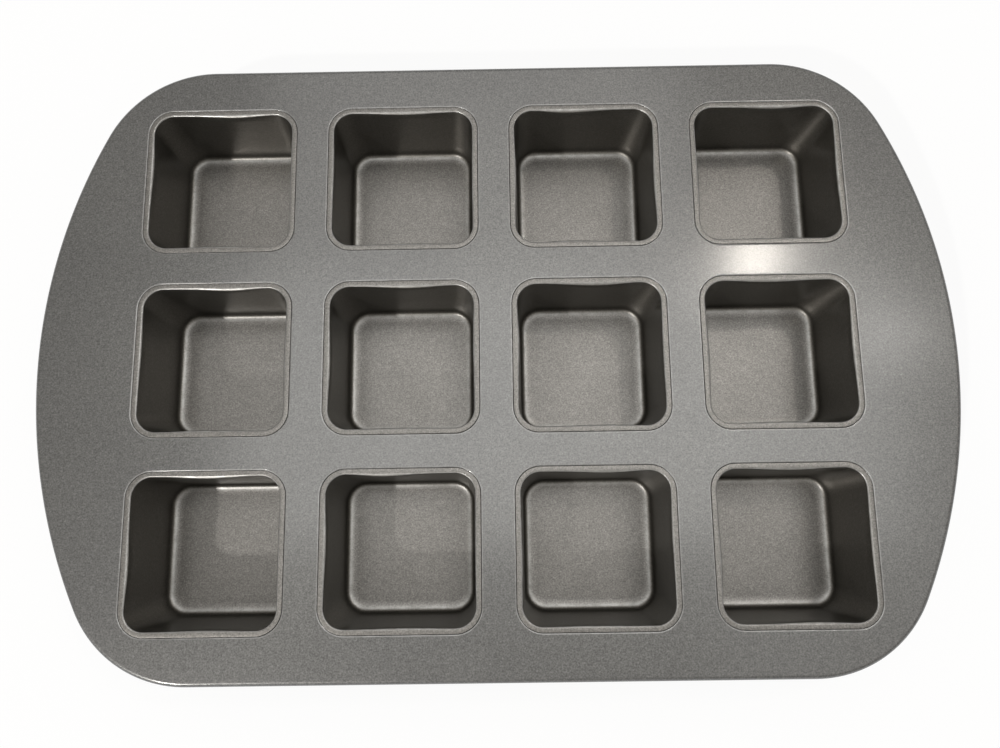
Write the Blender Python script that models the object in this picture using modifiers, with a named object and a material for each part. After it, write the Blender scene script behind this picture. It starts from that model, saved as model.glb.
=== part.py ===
"""Brownie bar pan: a punched steel frame, the wire in its rolled rim, and the square cups that are
folded into the frame's holes. Lengths are in metres. The pan stands on its cups at height zero,
with its long side along X."""

import math

import bmesh
import bpy

# Sheet, and the clearance between pieces that touch
SHEET = 0.0006
FIT_GAP = 0.0003

# Cup
MOUTH_WIDTH = 0.0635
MOUTH_BOW = 0.0006
FLOOR_WIDTH = 0.0600
CUP_DEPTH = 0.0399
FLOOR_BEND = 0.003
FLOOR_CORNER = 0.010

# Seam between a cup and the frame
RING_WIDTH = 0.0024
SEAM_CORNER = 0.011
COLLAR_BEND = 0.0008
COLLAR_DEPTH = 0.0032
LIP_HEADROOM = 0.0012

# Frame
COLUMNS = 4
ROWS = 3
WEB_WIDTH = 0.0147
SIDE_MARGIN = 0.01975
END_MARGIN = 0.04315
END_BOW_RADIUS = 0.2463
CORNER_RADIUS = 0.054
WIRE_DIAMETER = 0.002

# Facets
CUP_CORNER_STEPS = 3
FLOOR_BEND_STEPS = 3
FOLD_STEPS = 3
COLLAR_BEND_STEPS = 2
END_STEPS = 4
CORNER_STEPS = 6
CURL_STEPS = 7
CURL_STEP_ANGLE = math.radians(36)

# Sizes that follow
SEAM_WIDTH = MOUTH_WIDTH + 2 * RING_WIDTH
PITCH = SEAM_WIDTH + WEB_WIDTH
HALF_LENGTH = (COLUMNS * PITCH - WEB_WIDTH) / 2 + END_MARGIN
HALF_WIDTH = (ROWS * PITCH - WEB_WIDTH) / 2 + SIDE_MARGIN
TOP = SHEET + CUP_DEPTH
CURL_CLEAR_RADIUS = WIRE_DIAMETER / 2 + FIT_GAP + SHEET
CURL_RADIUS = CURL_CLEAR_RADIUS / math.cos(CURL_STEP_ANGLE / 2)
CURL_CENTRE_HEIGHT = TOP - CURL_RADIUS

# Finishes: colour, roughness and metallic value
COATED_FRAME = ((0.19, 0.185, 0.175), 0.42, 0.55)
COATED_CUP = ((0.15, 0.145, 0.135), 0.38, 0.55)
BARE_WIRE = ((0.55, 0.54, 0.52), 0.35, 1.0)


def clear_scene():
    for scene_object in list(bpy.data.objects):
        bpy.data.objects.remove(scene_object, do_unlink=True)


def make_material(name, finish):
    colour, roughness, metallic = finish
    material = bpy.data.materials.new(name)
    material.use_nodes = True
    shader = material.node_tree.nodes["Principled BSDF"]
    shader.inputs["Base Color"].default_value = (*colour, 1.0)
    shader.inputs["Roughness"].default_value = roughness
    shader.inputs["Metallic"].default_value = metallic
    return material


def quarter_turns(x, y, turns):
    for _ in range(turns):
        x, y = -y, x
    return x, y


def rounded_square(half, radius, height, bow=None):
    """Counter-clockwise ring of points. A bow, where one is given, adds the middle of each side and
    moves it in."""
    points = []
    for side in range(4):
        for step in range(CUP_CORNER_STEPS + 1):
            angle = math.pi / 2 * step / CUP_CORNER_STEPS
            x = half - radius + radius * math.cos(angle)
            y = half - radius + radius * math.sin(angle)
            points.append((*quarter_turns(x, y, side), height))
        if bow is not None:
            points.append((*quarter_turns(0, half - bow, side), height))
    return points


def pan_outline(inset, height):
    """Counter-clockwise ring of points along the pan's edge, moved in by inset. Each bowed end is
    one arc, and a corner arc leads from it to the straight side without a kink."""
    end_centre = HALF_LENGTH - END_BOW_RADIUS
    corner_y = HALF_WIDTH - CORNER_RADIUS
    corner_x = end_centre + math.sqrt((END_BOW_RADIUS - CORNER_RADIUS) ** 2 - corner_y**2)
    join = math.atan2(corner_y, corner_x - end_centre)
    quarter = []
    for step in range(END_STEPS + 1):
        angle = join * step / END_STEPS
        radius = END_BOW_RADIUS - inset
        quarter.append((end_centre + radius * math.cos(angle), radius * math.sin(angle)))
    for step in range(1, CORNER_STEPS + 1):
        angle = join + (math.pi / 2 - join) * step / CORNER_STEPS
        radius = CORNER_RADIUS - inset
        quarter.append((corner_x + radius * math.cos(angle), corner_y + radius * math.sin(angle)))
    upper = quarter + [(-x, y) for x, y in reversed(quarter)]
    lower = [(-x, -y) for x, y in upper[1:-1]]
    return [(x, y, height) for x, y in upper + lower]


def loft(mesh, rings):
    """Faces between each ring and the next, which face away from the axis where the rings rise."""
    loops = [[mesh.verts.new(point) for point in ring] for ring in rings]
    for first, second in zip(loops, loops[1:]):
        for index in range(len(first)):
            following = (index + 1) % len(first)
            mesh.faces.new((first[index], first[following], second[following], second[index]))
    return loops


def loop_edges(mesh, loop):
    return [mesh.edges.get((a, b)) for a, b in zip(loop, loop[1:] + loop[:1])]


def seam_ring(offset, height, bow=None):
    """Ring that keeps one distance from the seam line, outwards where offset is above zero."""
    return rounded_square(SEAM_WIDTH / 2 + offset, SEAM_CORNER + offset, height, bow)


def cup_floor_rings():
    """Outer face of the bend from the floor into the wall."""
    rings = []
    bend_radius = FLOOR_BEND + SHEET
    for step in range(FLOOR_BEND_STEPS + 1):
        angle = math.pi / 2 * step / FLOOR_BEND_STEPS
        half = FLOOR_WIDTH / 2 - FLOOR_BEND + bend_radius * math.sin(angle)
        height = bend_radius - bend_radius * math.cos(angle)
        rings.append(rounded_square(half, FLOOR_CORNER + half - FLOOR_WIDTH / 2, height, 0))
    return rings


def cup_fold_rings():
    """Hollow face of the fold over the mouth, from the wall to the skirt. The mouth's bow dies out
    towards the skirt, which stays straight along the seam."""
    rings = []
    radius = (RING_WIDTH - FIT_GAP / 2) / 2 - SHEET
    centre_offset = -FIT_GAP / 2 - SHEET - radius
    centre_height = TOP - SHEET - radius
    for step in range(FOLD_STEPS + 1):
        angle = math.pi * (1 - step / FOLD_STEPS)
        offset = centre_offset + radius * math.cos(angle)
        height = centre_height + radius * math.sin(angle)
        rings.append(seam_ring(offset, height, MOUTH_BOW * (1 - step / FOLD_STEPS)))
    return rings


def cup_hook_rings():
    """Outer face of the hook that runs under the frame's collar and up behind it."""
    skirt_offset = -FIT_GAP / 2 - SHEET
    lip_offset = FIT_GAP / 2 + SHEET + FIT_GAP + SHEET
    hook_height = TOP - COLLAR_DEPTH - FIT_GAP - SHEET
    lip_height = TOP - SHEET - LIP_HEADROOM
    return [
        seam_ring(skirt_offset, hook_height, 0),
        seam_ring(lip_offset, hook_height, 0),
        seam_ring(lip_offset, lip_height, 0),
    ]


def cup_mesh(material):
    """Outer face of a drawn cup: floor, tapered walls, fold over the mouth and hook."""
    mesh = bmesh.new()
    loops = loft(mesh, cup_floor_rings() + cup_fold_rings() + cup_hook_rings())
    mesh.faces.new(reversed(loops[0]))
    return finish_mesh(mesh, "cup", material)


def hole_rings():
    """Upper face of a hole's collar, from the flat sheet round the bend and down."""
    rings = []
    for step in range(COLLAR_BEND_STEPS + 1):
        angle = math.pi / 2 * step / COLLAR_BEND_STEPS
        offset = FIT_GAP / 2 + COLLAR_BEND - COLLAR_BEND * math.sin(angle)
        height = TOP - COLLAR_BEND + COLLAR_BEND * math.cos(angle)
        rings.append(seam_ring(offset, height))
    rings.append(seam_ring(FIT_GAP / 2, TOP - COLLAR_DEPTH))
    return rings


def rim_rings():
    """Outer face of the rolled edge, from its free end under the frame up to the flat sheet."""
    rings = []
    for step in range(CURL_STEPS, -1, -1):
        angle = math.pi / 2 - CURL_STEP_ANGLE * step
        inset = CURL_CLEAR_RADIUS - CURL_RADIUS * math.cos(angle)
        rings.append(pan_outline(inset, CURL_CENTRE_HEIGHT + CURL_RADIUS * math.sin(angle)))
    return rings


def frame_mesh(material):
    """Upper face of the frame: flat sheet, collars down round the holes, edge rolled under."""
    mesh = bmesh.new()
    boundary = loop_edges(mesh, loft(mesh, rim_rings())[-1])
    for centre_x, centre_y in cup_centres().values():
        rings = [[(x + centre_x, y + centre_y, z) for x, y, z in ring] for ring in hole_rings()]
        boundary += loop_edges(mesh, loft(mesh, rings)[0])
    flat = bmesh.ops.triangle_fill(mesh, edges=boundary, use_beauty=True, normal=(0, 0, 1))
    for face in flat["geom"]:
        if isinstance(face, bmesh.types.BMFace) and face.normal.z < 0:
            face.normal_flip()
    return finish_mesh(mesh, "frame_plate", material)


def finish_mesh(mesh, name, material):
    data = bpy.data.meshes.new(name)
    mesh.to_mesh(data)
    mesh.free()
    data.materials.append(material)
    data.shade_smooth()
    data.set_sharp_from_angle(angle=math.radians(50))
    return data


def add_sheet_object(collection, name, data, location=(0, 0, 0)):
    """An object whose faces get the sheet's thickness behind them."""
    sheet_object = bpy.data.objects.new(name, data)
    sheet_object.location = location
    collection.objects.link(sheet_object)
    thickness = sheet_object.modifiers.new("sheet", "SOLIDIFY")
    thickness.thickness = SHEET
    thickness.offset = -1
    thickness.use_even_offset = True
    thickness.use_quality_normals = True
    return sheet_object


def add_rim_wire(collection, material):
    """Closed wire inside the rolled edge."""
    curve = bpy.data.curves.new("rim_wire", "CURVE")
    curve.dimensions = "3D"
    curve.bevel_depth = WIRE_DIAMETER / 2
    curve.bevel_resolution = 1
    points = pan_outline(CURL_CLEAR_RADIUS, CURL_CENTRE_HEIGHT)
    spline = curve.splines.new("POLY")
    spline.points.add(len(points) - 1)
    for point, place in zip(spline.points, points):
        point.co = (*place, 1)
    spline.use_cyclic_u = True
    spline.use_smooth = True
    curve.materials.append(material)
    wire = bpy.data.objects.new("rim_wire", curve)
    collection.objects.link(wire)
    return wire


def cup_centres():
    """Centre of each cup by name. Row 1 is the far row and column 1 the left one."""
    centres = {}
    for row in range(ROWS):
        for column in range(COLUMNS):
            x = (column - (COLUMNS - 1) / 2) * PITCH
            y = ((ROWS - 1) / 2 - row) * PITCH
            centres[f"cup_r{row + 1}_c{column + 1}"] = (x, y)
    return centres


def build_pan():
    clear_scene()
    collection = bpy.data.collections.new("brownie_bar_pan")
    bpy.context.scene.collection.children.link(collection)
    frame = frame_mesh(make_material("coated_frame", COATED_FRAME))
    add_sheet_object(collection, "frame_plate", frame)
    add_rim_wire(collection, make_material("bare_wire", BARE_WIRE))
    cup = cup_mesh(make_material("coated_cup", COATED_CUP))
    for name, (x, y) in cup_centres().items():
        add_sheet_object(collection, name, cup, (x, y, 0))


build_pan()
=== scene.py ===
import math
import random

import bmesh
import bpy
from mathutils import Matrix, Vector


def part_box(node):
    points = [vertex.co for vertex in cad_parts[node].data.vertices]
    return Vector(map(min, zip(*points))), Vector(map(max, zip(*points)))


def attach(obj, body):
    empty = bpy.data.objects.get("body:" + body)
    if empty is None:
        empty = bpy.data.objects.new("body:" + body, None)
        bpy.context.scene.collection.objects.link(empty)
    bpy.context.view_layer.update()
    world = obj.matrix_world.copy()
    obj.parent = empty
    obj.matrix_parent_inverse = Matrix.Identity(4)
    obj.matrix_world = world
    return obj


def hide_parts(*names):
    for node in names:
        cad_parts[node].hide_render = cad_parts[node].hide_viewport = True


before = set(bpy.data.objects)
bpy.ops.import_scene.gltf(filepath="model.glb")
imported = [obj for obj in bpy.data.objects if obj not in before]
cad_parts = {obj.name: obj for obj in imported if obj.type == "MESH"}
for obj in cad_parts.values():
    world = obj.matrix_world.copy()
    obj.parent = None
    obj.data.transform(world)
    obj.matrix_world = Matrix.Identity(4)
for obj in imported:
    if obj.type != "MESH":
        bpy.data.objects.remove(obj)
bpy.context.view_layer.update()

# The pan's own sizes, in metres
SHEET = 0.0006
MOUTH_WIDTH = 0.0635
FLOOR_WIDTH = 0.0600
FLOOR_RISE_RADIUS = 0.016
FLOOR_RISE_ANGLE = math.radians(12)
FLOOR_BEND = 0.0026
FLOOR_CORNER = 0.010
RING_WIDTH = 0.0024
SEAM_CORNER = 0.011
SEAM_GAP = 0.00008
FOLD_INNER_RADIUS = 0.0007
SEAM_EDGE_RADIUS = 0.00015
COLLAR_BEND = 0.0004
COLLAR_DEPTH = 0.0032
HOOK_GAP = 0.0002
LIP_HEADROOM = 0.0012
END_BOW_RADIUS = 0.2463
CORNER_RADIUS = 0.054
WIRE_DIAMETER = 0.002
WIRE_GAP = 0.0003
WIRE_WRAP = math.radians(285)
FLAT_STRIP = 0.0004

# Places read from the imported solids
FRAME_LOW, FRAME_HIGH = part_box("frame_plate")
TOP = FRAME_HIGH.z
HALF_LENGTH = (FRAME_HIGH.x - FRAME_LOW.x) / 2
HALF_WIDTH = (FRAME_HIGH.y - FRAME_LOW.y) / 2
SEAM_HALF = MOUTH_WIDTH / 2 + RING_WIDTH
CURL_RADIUS = WIRE_DIAMETER / 2 + WIRE_GAP + SHEET
CUP_NODES = sorted(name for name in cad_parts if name.startswith("cup_"))

# Fineness of the meshes, and the angle from which an edge is shaded sharp
SHARP_ANGLE = math.radians(50)
CORNER_STEPS = 12
SIDE_STEPS = 12
RISE_STEPS = 6
BEND_STEPS = 8
WALL_STEPS = 8
FOLD_STEPS = 8
EDGE_STEPS = 4
HOOK_STEPS = 6
END_STEPS = 26
OUTLINE_CORNER_STEPS = 26
CURL_STEPS = 26
WIRE_STEPS = 12

# The mouth's far, left, near and right side bow in by a different amount on each drawn cup, and
# each bow's deepest point lies a little off the side's middle
MOUTH_BOWS = (0.0009, 0.0005, 0.0004, 0.0004)
MOUTH_BOW_SPREAD = 0.0002
MOUTH_SKEW = 0.35
SEED = 7

# Painted highlight along each floor's edge, a lighter colour along each hole's bend, and how many
# rows of the mesh the painted highlight and the walls' painted shade take to fade
FLOOR_HIGHLIGHT = 0.65
COLLAR_LIGHTENING = 0.6
HIGHLIGHT_ROWS = 3
WALL_SHADE_ROWS = 4

# Finishes: the coating's colour from dark to light, a lighter colour for rubbed edges and painted
# highlights, and how strong and how rough its gloss is. The cup's last colour is a painted shade,
# darker and warmer, that its walls tend to.
FRAME_FINISH = {
    "dark": (0.130, 0.130, 0.129),
    "light": (0.146, 0.146, 0.143),
    "worn_and_highlight": (0.36, 0.36, 0.36),
    "gloss": 1.0,
    "gloss_roughness": 0.165,
}
CUP_FINISH = {
    "dark": (0.190, 0.183, 0.172),
    "light": (0.214, 0.206, 0.195),
    "worn_and_highlight": (0.42, 0.42, 0.41),
    "gloss": 0.45,
    "gloss_roughness": 0.30,
    "wall_shade_colour": (0.165, 0.154, 0.130),
}
# What both coatings share: the base's roughness, how much smoother the rubbed and highlighted rows
# are, how far the walls go to the painted shade, and the gloss's index and edge tint
BASE_ROUGHNESS = (0.43, 0.47)
RUBBED_SMOOTHING = 0.08
WALL_SHADE_SHARE = 0.5
GLOSS_IOR = 1.65
EDGE_TINT = (0.3, 0.3, 0.3, 1)

# Detail of both coatings: sizes and depth in metres, brightness and shade as factors of the colour
CLOUD_SIZE = 0.06
SMUDGE_SIZE = 0.018
# Each grain's size, and how far it moves the colour
GRAINS = ((0.0007, 0.34), (0.0016, 0.12))
FLAKE_SIZE = 0.0005
FLAKE_BRIGHTNESS = 1.35
SPECK_SPACING = 0.024
SPECK_RIM = (0.012, 0.022)
SPECK_SHADE = 0.45
PEEL_SIZE = 0.0009
PEEL_DEPTH = 0.00006
PEEL_STRENGTH = 0.25

# Bare wire
WIRE_BRIGHT = (0.5, 0.49, 0.47)
WIRE_TARNISHED = (0.3, 0.28, 0.25)

# Camera
CAMERA_PLACE = (0.0036, -0.0681, TOP + 0.3383)
CAMERA_TURN = (math.radians(9.96), math.radians(0.48), math.radians(-0.81))
CAMERA_LENS = 28.404
CAMERA_SENSOR = 36
CAMERA_NEAR = 0.01

# Small ceiling lamps, aimed at the pan: place, radius, power and colour
CEILING_LAMPS = {
    "lamp_far_right": ((0.78, 0.69, 2.04), 0.06, 2.1, (1.0, 0.93, 0.85)),
    "lamp_right": ((1.19, 0.45, 2.04), 0.10, 0.35, (1.0, 0.97, 0.93)),
    "lamp_near_left": ((-1.30, -1.585, 2.04), 0.05, 31.0, (1.0, 0.97, 0.93)),
}
# Soft panels that face straight down: place, width, depth, power and colour
CEILING_PANELS = {
    "panel_main": ((0.14, 0.21, 1.7), 1.72, 0.72, 6.9, (1.0, 1.0, 0.98)),
    "panel_far": ((-0.06, 1.00, 1.7), 1.14, 1.01, 2.75, (1.0, 0.99, 0.98)),
    "panel_right": ((0.85, -0.27, 1.7), 0.70, 1.34, 1.05, (1.0, 0.99, 0.96)),
}
# The world's light: white near the horizon, dimmer from a little above it
SURROUND_COLOUR = (0.96, 0.96, 0.95)
CEILING_COLOUR = (0.48, 0.46, 0.43)
SURROUND_TOP = 0.2
CEILING_START = 0.45

# Floor: half its side, the gap below the pan, its share of plain white, and its paint
FLOOR_REACH = 3.0
FLOOR_GAP = 0.0001
FLOOR_WHITE = 0.88
FLOOR_PAINT = (0.9, 0.9, 0.9, 1)
FLOOR_ROUGHNESS = 0.9
FLOOR_SPECULAR = 0.1


def ring_points(half, radius, height, bows=((0, 0),) * 4):
    """Counter-clockwise ring of a rounded square. Each side moves in by its bow, which is deepest
    near the middle, as its skew says, and dies out smoothly towards the corners."""
    points = []
    straight = half - radius
    for side, (bow, skew) in enumerate(bows):
        corner = []
        for step in range(CORNER_STEPS + 1):
            angle = math.pi / 2 * step / CORNER_STEPS
            x = straight + radius * math.cos(angle)
            y = straight + radius * math.sin(angle)
            corner.append((x, y))
        for step in range(1, SIDE_STEPS):
            share = 1 - 2 * step / SIDE_STEPS
            sag = bow * math.cos(math.pi / 2 * (share + skew * (1 - share**2))) ** 2
            corner.append((straight * share, half - sag))
        for x, y in corner:
            for _ in range(side):
                x, y = -y, x
            points.append((x, y, height))
    return points


def arc(centre, radius, start, end, steps):
    """Points of an arc in a section: distance out, and height. A radius below zero, which a bend
    tighter than the sheet has on its inner face, gives the point where the two flats meet."""
    if radius <= 0:
        return [(centre[0] + radius, centre[1] + radius)]
    points = []
    for step in range(steps + 1):
        angle = start + (end - start) * step / steps
        points.append((centre[0] + radius * math.cos(angle), centre[1] + radius * math.sin(angle)))
    return points


def outline_points(inset, height):
    """Counter-clockwise ring along the pan's edge, moved in by inset."""
    end_centre = HALF_LENGTH - END_BOW_RADIUS
    corner_y = HALF_WIDTH - CORNER_RADIUS
    corner_x = end_centre + math.sqrt((END_BOW_RADIUS - CORNER_RADIUS) ** 2 - corner_y**2)
    join = math.atan2(corner_y, corner_x - end_centre)
    quarter = arc((end_centre, 0), END_BOW_RADIUS - inset, 0, join, END_STEPS)
    corner = (corner_x, corner_y)
    quarter += arc(corner, CORNER_RADIUS - inset, join, math.pi / 2, OUTLINE_CORNER_STEPS)[1:]
    upper = quarter + [(-x, y) for x, y in reversed(quarter)]
    lower = [(-x, -y) for x, y in upper[1:-1]]
    return [(x, y, height) for x, y in upper + lower]


def loft(mesh, rings, **marks):
    """Faces between each ring and the next. Each mark, such as the rubbing and painted highlight,
    has a share for every ring.
    """
    layers = mesh.verts.layers.float
    for name in marks:
        if layers.get(name) is None:
            layers.new(name)
    loops = [[mesh.verts.new(point) for point in ring] for ring in rings]
    for name, shares in marks.items():
        for loop, share in zip(loops, shares):
            for vertex in loop:
                vertex[layers[name]] = share
    for first, second in zip(loops, loops[1:]):
        for index in range(len(first)):
            following = (index + 1) % len(first)
            mesh.faces.new((first[index], first[following], second[following], second[index]))
    return loops


def loop_edges(mesh, loop):
    return [mesh.edges.get((a, b)) for a, b in zip(loop, loop[1:] + loop[:1])]


def cup_face(back):
    """Section of a cup's face that lies back behind its cooking face, from the floor over the mouth
    to the hook's lip. Each row has half width, corner radius, height, share of the mouth's bow,
    share of rubbing and painted highlight, and share of painted shade on the walls."""
    reach = FLOOR_RISE_RADIUS - FLOOR_BEND
    rise_centre = (
        FLOOR_WIDTH / 2 - FLOOR_BEND - reach * math.sin(FLOOR_RISE_ANGLE),
        SHEET + FLOOR_RISE_RADIUS,
    )
    bend_centre = (
        FLOOR_WIDTH / 2 - FLOOR_BEND,
        rise_centre[1] - reach * math.cos(FLOOR_RISE_ANGLE),
    )
    skirt = SEAM_HALF - SEAM_GAP / 2
    fold_centre = (MOUTH_WIDTH / 2 + FOLD_INNER_RADIUS, TOP - FOLD_INNER_RADIUS)
    taper = math.atan2((MOUTH_WIDTH - FLOOR_WIDTH) / 2, fold_centre[1] - bend_centre[1])
    down = -math.pi / 2
    floor = [(rise_centre[0] - FLAT_STRIP, SHEET - back)]
    floor += arc(rise_centre, FLOOR_RISE_RADIUS + back, down, down + FLOOR_RISE_ANGLE, RISE_STEPS)
    floor += arc(bend_centre, FLOOR_BEND + back, down + FLOOR_RISE_ANGLE, -taper, BEND_STEPS)[1:]
    fold = arc(fold_centre, FOLD_INNER_RADIUS - back, math.pi - taper, math.pi / 2, FOLD_STEPS)
    rows = []
    for step, (half, height) in enumerate(floor):
        past_rise = step - RISE_STEPS - 1
        # Painted highlight: the floor's edge gets a lighter colour where the bend would catch the
        # light
        wear = FLOOR_HIGHLIGHT * max(0, 1 - abs(past_rise) / HIGHLIGHT_ROWS)
        # Painted shade: from the bend upwards the colour goes darker and warmer, towards the walls'
        # shade
        dull = min(1, max(0, past_rise / WALL_SHADE_ROWS))
        rows.append((half, FLOOR_CORNER + half - FLOOR_WIDTH / 2, height, 0, wear, dull))
    mouth_corner = SEAM_CORNER + fold[0][0] - SEAM_HALF
    for step in range(1, WALL_STEPS):
        share = step / WALL_STEPS
        half = floor[-1][0] + (fold[0][0] - floor[-1][0]) * share
        radius = rows[-1][1] + (mouth_corner - rows[-1][1]) / (WALL_STEPS - step + 1)
        height = floor[-1][1] + (fold[0][1] - floor[-1][1]) * share
        # The walls take the full painted shade
        rows.append((half, radius, height, share**2, 0, 1))
    edge_centre = (skirt - SEAM_EDGE_RADIUS, TOP - SEAM_EDGE_RADIUS)
    rim = fold + arc(edge_centre, SEAM_EDGE_RADIUS - back, math.pi / 2, 0, EDGE_STEPS)
    for step, (half, height) in enumerate(rim):
        bow = max(0, 1 - step / FOLD_STEPS) if back == 0 else 1 - step / (len(rim) - 1)
        # Along the fold over the mouth: a lighter colour for rubbing and a painted highlight
        wear = math.sin(math.pi * min(1, step / FOLD_STEPS)) ** 2
        # The walls' painted shade fades out over the fold
        dull = max(0, 1 - 2 * step / FOLD_STEPS)
        rows.append((half, SEAM_CORNER + half - SEAM_HALF, height, bow, wear, dull))
    hook_radius = (SHEET + SEAM_GAP + HOOK_GAP) / 2
    hook_centre = (skirt + hook_radius, TOP - COLLAR_DEPTH - HOOK_GAP + hook_radius)
    hook = arc(hook_centre, hook_radius + back, -math.pi, 0, HOOK_STEPS)
    hook.append((skirt + 2 * hook_radius + back, TOP - SHEET - LIP_HEADROOM))
    for half, height in hook:
        rows.append((half, SEAM_CORNER + half - SEAM_HALF, height, 0, 0, 0))
    return rows


def cup_piece(node, material, random_source):
    """A drawn cup in the place of its node."""
    low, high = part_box(node)
    centre = (low + high) / 2
    bows = []
    for bow in MOUTH_BOWS:
        spread = random_source.uniform(-MOUTH_BOW_SPREAD, MOUTH_BOW_SPREAD)
        bows.append((bow + spread, random_source.uniform(-MOUTH_SKEW, MOUTH_SKEW)))
    rings = []
    wear = []
    dull = []
    section = cup_face(0) + cup_face(SHEET)[::-1]
    for half, radius, height, bow_share, wear_share, dull_share in section:
        ring = ring_points(half, radius, height, [(bow * bow_share, skew) for bow, skew in bows])
        rings.append([(x + centre.x, y + centre.y, z) for x, y, z in ring])
        wear.append(wear_share)
        dull.append(dull_share)
    mesh = bmesh.new()
    loops = loft(mesh, rings, wear=wear, dull=dull)
    mesh.faces.new(loops[0])
    mesh.faces.new(loops[-1])
    return finish_piece(mesh, node.replace("cup", "cup_shell"), material, node)


def frame_piece(material):
    """The punched sheet: flat face, collars down round the holes and rolled edge."""
    mesh = bmesh.new()
    centre = (-CURL_RADIUS, TOP - CURL_RADIUS)
    free_end = math.pi / 2 - WIRE_WRAP
    curl = [(-CURL_RADIUS - FLAT_STRIP, TOP)]
    curl += arc(centre, CURL_RADIUS, math.pi / 2, free_end, CURL_STEPS)
    curl += arc(centre, CURL_RADIUS - SHEET, free_end, math.pi / 2, CURL_STEPS)
    curl.append((-CURL_RADIUS - FLAT_STRIP, TOP - SHEET))
    wear = [math.sin(math.pi * min(1, step / CURL_STEPS)) ** 4 for step in range(len(curl))]
    loops = loft(mesh, [outline_points(-out, height) for out, height in curl], wear=wear)
    upper, lower = loop_edges(mesh, loops[0]), loop_edges(mesh, loops[-1])
    collar = SEAM_GAP / 2
    edge = (collar + COLLAR_BEND, TOP - COLLAR_BEND)
    section = [(edge[0] + FLAT_STRIP, TOP)]
    section += arc(edge, COLLAR_BEND, math.pi / 2, math.pi, EDGE_STEPS)
    section += [(collar, TOP - COLLAR_DEPTH), (collar + SHEET, TOP - COLLAR_DEPTH)]
    section += [(collar + SHEET, TOP - SHEET), (edge[0] + FLAT_STRIP, TOP - SHEET)]
    wear = [0] + [COLLAR_LIGHTENING] * (EDGE_STEPS + 1) + [0] * 4
    for node in CUP_NODES:
        low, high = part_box(node)
        place = (low + high) / 2
        rings = []
        for out, height in section:
            ring = ring_points(SEAM_HALF + out, SEAM_CORNER + out, height)
            rings.append([(x + place.x, y + place.y, z) for x, y, z in ring])
        loops = loft(mesh, rings, wear=wear)
        upper += loop_edges(mesh, loops[0])
        lower += loop_edges(mesh, loops[-1])
    for boundary in (upper, lower):
        bmesh.ops.triangle_fill(mesh, edges=boundary, use_beauty=True, normal=(0, 0, 1))
    return finish_piece(mesh, "frame_sheet", material, "frame_plate")


def wire_piece(material):
    """The wire in the rolled edge, as a round tube along the pan's outline."""
    mesh = bmesh.new()
    centre = (-CURL_RADIUS, TOP - CURL_RADIUS)
    section = arc(centre, WIRE_DIAMETER / 2, 0, 2 * math.pi, WIRE_STEPS)[:-1]
    loops = loft(mesh, [outline_points(-out, height) for out, height in section])
    first, last = loops[0], loops[-1]
    for index in range(len(first)):
        following = (index + 1) % len(first)
        mesh.faces.new((last[index], last[following], first[following], first[index]))
    return finish_piece(mesh, "rim_wire_round", material, "rim_wire")


def finish_piece(mesh, name, material, node):
    bmesh.ops.recalc_face_normals(mesh, faces=mesh.faces)
    data = bpy.data.meshes.new(name)
    mesh.to_mesh(data)
    mesh.free()
    data.materials.append(material)
    data.shade_smooth()
    data.set_sharp_from_angle(angle=SHARP_ANGLE)
    piece = bpy.data.objects.new(name, data)
    bpy.context.scene.collection.objects.link(piece)
    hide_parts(node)
    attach(piece, "root")
    return piece


class Shader:
    """A material's node tree, with short calls for the nodes used here."""

    def __init__(self, name):
        self.material = bpy.data.materials.new(name)
        self.material.use_nodes = True
        self.tree = self.material.node_tree
        self.principled = self.tree.nodes["Principled BSDF"]
        self.place = self.node("ShaderNodeTexCoord").outputs["Object"]

    def node(self, kind, **settings):
        node = self.tree.nodes.new(kind)
        for name, value in settings.items():
            setattr(node, name, value)
        return node

    def link(self, source, target):
        self.tree.links.new(source, target)

    def noise(self, size, detail=2.0, stretch=(1, 1, 1)):
        """Noise whose blotches are about size metres wide."""
        mapping = self.node("ShaderNodeMapping")
        mapping.inputs["Scale"].default_value = stretch
        self.link(self.place, mapping.inputs["Vector"])
        noise = self.node("ShaderNodeTexNoise")
        noise.inputs["Scale"].default_value = 1 / size
        noise.inputs["Detail"].default_value = detail
        self.link(mapping.outputs["Vector"], noise.inputs["Vector"])
        return noise.outputs["Fac"]

    def remap(self, value, low, high, to_low, to_high):
        node = self.node("ShaderNodeMapRange", clamp=True)
        for socket, number in zip(node.inputs[1:5], (low, high, to_low, to_high)):
            socket.default_value = number
        self.link(value, node.inputs["Value"])
        return node.outputs["Result"]

    def math(self, operation, first, second):
        node = self.node("ShaderNodeMath", operation=operation)
        for socket, value in zip(node.inputs, (first, second)):
            if isinstance(value, (int, float)):
                socket.default_value = value
            else:
                self.link(value, socket)
        return node.outputs["Value"]

    def mix(self, share, first, second):
        node = self.node("ShaderNodeMix", data_type="RGBA")
        self.link(share, node.inputs["Factor"])
        for socket, value in zip((node.inputs["A"], node.inputs["B"]), (first, second)):
            if isinstance(value, tuple):
                socket.default_value = (*value, 1)
            else:
                self.link(value, socket)
        return node.outputs["Result"]

    def scaled(self, colour, factor):
        node = self.node("ShaderNodeVectorMath", operation="SCALE")
        self.link(colour, node.inputs[0])
        self.link(factor, node.inputs["Scale"])
        return node.outputs["Vector"]


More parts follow.
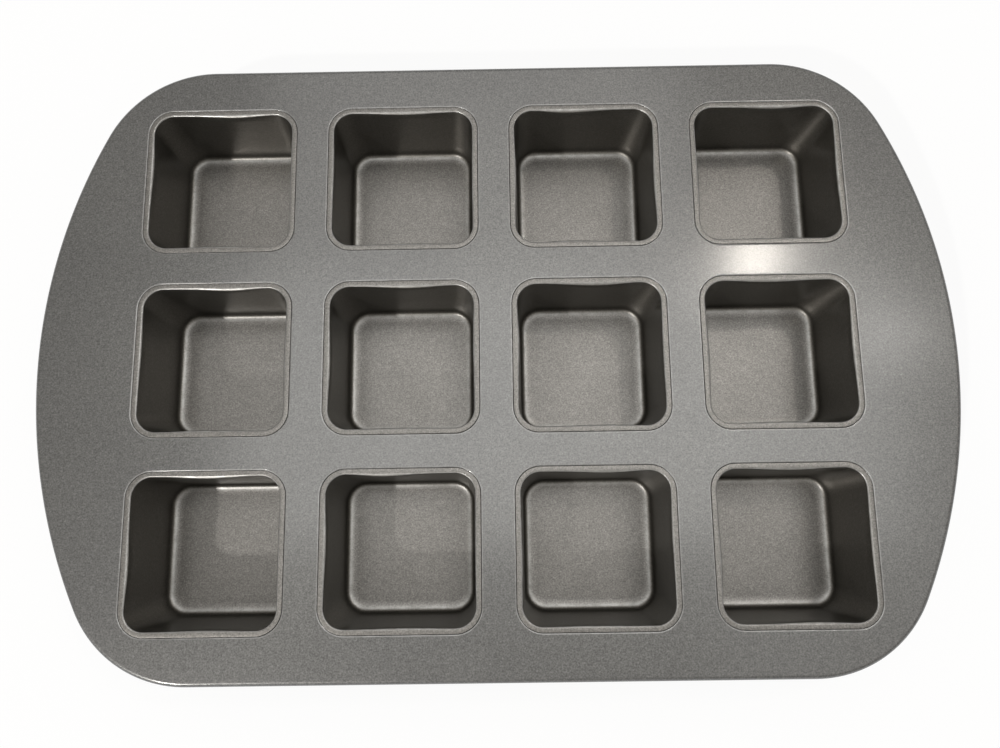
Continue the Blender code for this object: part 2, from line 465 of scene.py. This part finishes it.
def coated_steel(name, dark, light, worn_and_highlight, gloss, gloss_roughness, wall_shade_colour=None):
    """Non-stick coating with fine metal flake, faint clouding, an orange-peel surface, small
    specks, and a lighter colour where the mesh's wear mark says so: rubbed edges and painted
    highlights.
    Where the mesh's wall mark says so, the colour goes half way to a painted shade."""
    shader = Shader(name)
    clouds = shader.remap(shader.noise(CLOUD_SIZE, 3), 0.3, 0.7, 0, 1)
    colour = shader.mix(clouds, dark, light)
    for size, depth in GRAINS:
        grain = shader.noise(size, 3)
        colour = shader.scaled(colour, shader.remap(grain, 0.3, 0.7, 1 - depth, 1 + depth))

    flake = shader.node("ShaderNodeTexVoronoi")
    flake.inputs["Scale"].default_value = 1 / FLAKE_SIZE
    shader.link(shader.place, flake.inputs["Vector"])
    sparkle = shader.remap(flake.outputs["Color"], 0.8, 1.0, 1.0, FLAKE_BRIGHTNESS)
    colour = shader.scaled(colour, sparkle)

    speck = shader.node("ShaderNodeTexVoronoi")
    speck.inputs["Scale"].default_value = 1 / SPECK_SPACING
    shader.link(shader.place, speck.inputs["Vector"])
    chosen = shader.remap(speck.outputs["Color"], 0.72, 0.74, 0, 1)
    spot = shader.remap(speck.outputs["Distance"], *SPECK_RIM, 1, 0)
    speckled = shader.math("MULTIPLY", chosen, spot)
    colour = shader.scaled(colour, shader.remap(speckled, 0, 1, 1, SPECK_SHADE))

    # Rubbed edges and painted highlights: a lighter colour where the mesh's mark says so, broken up
    # by noise
    attribute = shader.node("ShaderNodeAttribute", attribute_name="wear")
    patchy = shader.remap(shader.noise(0.004, 4), 0.4, 0.65, 0.5, 1)
    rubbed_and_highlight = shader.math("MULTIPLY", attribute.outputs["Fac"], patchy)
    colour = shader.mix(rubbed_and_highlight, colour, worn_and_highlight)
    # Painted shade: the cup's walls go part way to a darker, warmer colour
    if wall_shade_colour is not None:
        dull = shader.node("ShaderNodeAttribute", attribute_name="dull").outputs["Fac"]
        colour = shader.mix(shader.remap(dull, 0, 1, 0, WALL_SHADE_SHARE), colour, wall_shade_colour)
    shader.link(colour, shader.principled.inputs["Base Color"])

    smudge = shader.noise(SMUDGE_SIZE, 4)
    rough = shader.remap(smudge, 0.3, 0.7, *BASE_ROUGHNESS)
    smoother = shader.math("MULTIPLY", rubbed_and_highlight, RUBBED_SMOOTHING)
    rough = shader.math("SUBTRACT", rough, smoother)
    shader.link(rough, shader.principled.inputs["Roughness"])

    shader.principled.inputs["Metallic"].default_value = 1.0
    shader.principled.inputs["Coat Weight"].default_value = gloss
    shader.principled.inputs["Coat Roughness"].default_value = gloss_roughness
    shader.principled.inputs["Coat IOR"].default_value = GLOSS_IOR
    shader.principled.inputs["Specular Tint"].default_value = EDGE_TINT

    peel = shader.node("ShaderNodeBump")
    peel.inputs["Strength"].default_value = PEEL_STRENGTH
    peel.inputs["Distance"].default_value = PEEL_DEPTH
    shader.link(shader.noise(PEEL_SIZE, 3), peel.inputs["Height"])
    shader.link(peel.outputs["Normal"], shader.principled.inputs["Normal"])
    return shader.material


def drawn_wire(name):
    """Bare steel wire with lengthwise drawing marks and a little tarnish."""
    shader = Shader(name)
    tarnish = shader.remap(shader.noise(0.01, 4), 0.35, 0.65, 0, 1)
    colour = shader.mix(tarnish, WIRE_BRIGHT, WIRE_TARNISHED)
    shader.link(colour, shader.principled.inputs["Base Color"])
    marks = shader.noise(0.0004, 2, stretch=(0.05, 0.05, 1))
    shader.link(shader.remap(marks, 0.3, 0.7, 0.3, 0.5), shader.principled.inputs["Roughness"])
    shader.principled.inputs["Metallic"].default_value = 1.0
    return shader.material


def build_world():
    """Even soft light: a white surround at the horizon, and a dimmer ceiling."""
    world = bpy.data.worlds.new("studio")
    world.use_nodes = True
    bpy.context.scene.world = world
    tree = world.node_tree
    background = tree.nodes["Background"]
    direction = tree.nodes.new("ShaderNodeTexCoord")
    split = tree.nodes.new("ShaderNodeSeparateXYZ")
    tree.links.new(direction.outputs["Generated"], split.inputs["Vector"])
    height = tree.nodes.new("ShaderNodeMapRange")
    for socket, number in zip(height.inputs[1:5], (SURROUND_TOP, CEILING_START, 0, 1)):
        socket.default_value = number
    tree.links.new(split.outputs["Z"], height.inputs["Value"])
    colour = tree.nodes.new("ShaderNodeMix")
    colour.data_type = "RGBA"
    colour.inputs["A"].default_value = (*SURROUND_COLOUR, 1)
    colour.inputs["B"].default_value = (*CEILING_COLOUR, 1)
    tree.links.new(height.outputs["Result"], colour.inputs["Factor"])
    tree.links.new(colour.outputs["Result"], background.inputs["Color"])
    background.inputs["Strength"].default_value = 1.0


def build_floor():
    """A pale floor that the pan stands on."""
    mesh = bmesh.new()
    bmesh.ops.create_grid(mesh, x_segments=1, y_segments=1, size=FLOOR_REACH)
    data = bpy.data.meshes.new("floor")
    mesh.to_mesh(data)
    mesh.free()
    floor = bpy.data.objects.new("floor", data)
    floor.location.z = -FLOOR_GAP
    bpy.context.scene.collection.objects.link(floor)
    material = bpy.data.materials.new("pale_floor")
    material.use_nodes = True
    tree = material.node_tree
    paint = tree.nodes["Principled BSDF"]
    paint.inputs["Base Color"].default_value = FLOOR_PAINT
    paint.inputs["Roughness"].default_value = FLOOR_ROUGHNESS
    paint.inputs["Specular IOR Level"].default_value = FLOOR_SPECULAR
    glow = tree.nodes.new("ShaderNodeEmission")
    glow.inputs["Strength"].default_value = 1.0
    rays = tree.nodes.new("ShaderNodeLightPath")
    seen = rays.outputs["Is Camera Ray"]
    for kind in ("Is Glossy Ray", "Is Transmission Ray"):
        either = tree.nodes.new("ShaderNodeMath")
        either.operation = "MAXIMUM"
        tree.links.new(seen, either.inputs[0])
        tree.links.new(rays.outputs[kind], either.inputs[1])
        seen = either.outputs["Value"]
    share = tree.nodes.new("ShaderNodeMath")
    share.operation = "MULTIPLY"
    share.inputs[1].default_value = FLOOR_WHITE
    tree.links.new(seen, share.inputs[0])
    mix = tree.nodes.new("ShaderNodeMixShader")
    tree.links.new(share.outputs["Value"], mix.inputs["Fac"])
    tree.links.new(paint.outputs["BSDF"], mix.inputs[1])
    tree.links.new(glow.outputs["Emission"], mix.inputs[2])
    tree.links.new(mix.outputs["Shader"], tree.nodes["Material Output"].inputs["Surface"])
    data.materials.append(material)


def area_lamp(name, place, power, colour):
    data = bpy.data.lights.new(name, "AREA")
    data.energy = power
    data.color = colour
    lamp = bpy.data.objects.new(name, data)
    lamp.location = place
    bpy.context.scene.collection.objects.link(lamp)
    return lamp


def build_lamps():
    for name, (place, radius, power, colour) in CEILING_LAMPS.items():
        lamp = area_lamp(name, place, power, colour)
        lamp.data.shape = "DISK"
        lamp.data.size = 2 * radius
        aim = Vector((0, 0, TOP)) - lamp.location
        lamp.rotation_euler = aim.to_track_quat("-Z", "Y").to_euler()
    for name, (place, width, depth, power, colour) in CEILING_PANELS.items():
        lamp = area_lamp(name, place, power, colour)
        lamp.data.shape = "RECTANGLE"
        lamp.data.size = width
        lamp.data.size_y = depth


def build_camera():
    data = bpy.data.cameras.new("camera")
    data.lens = CAMERA_LENS
    data.sensor_width = CAMERA_SENSOR
    data.clip_start = CAMERA_NEAR
    camera = bpy.data.objects.new("camera", data)
    camera.location = CAMERA_PLACE
    camera.rotation_euler = CAMERA_TURN
    bpy.context.scene.collection.objects.link(camera)
    bpy.context.scene.camera = camera


def build_pan():
    frame_piece(coated_steel("frame_coat", **FRAME_FINISH))
    wire_piece(drawn_wire("wire_steel"))
    cup_coat = coated_steel("cup_coat", **CUP_FINISH)
    random_source = random.Random(SEED)
    for node in CUP_NODES:
        cup_piece(node, cup_coat, random_source)


build_camera()
build_world()
build_floor()
build_lamps()
build_pan()
bpy.context.scene.view_settings.view_transform = "Standard"
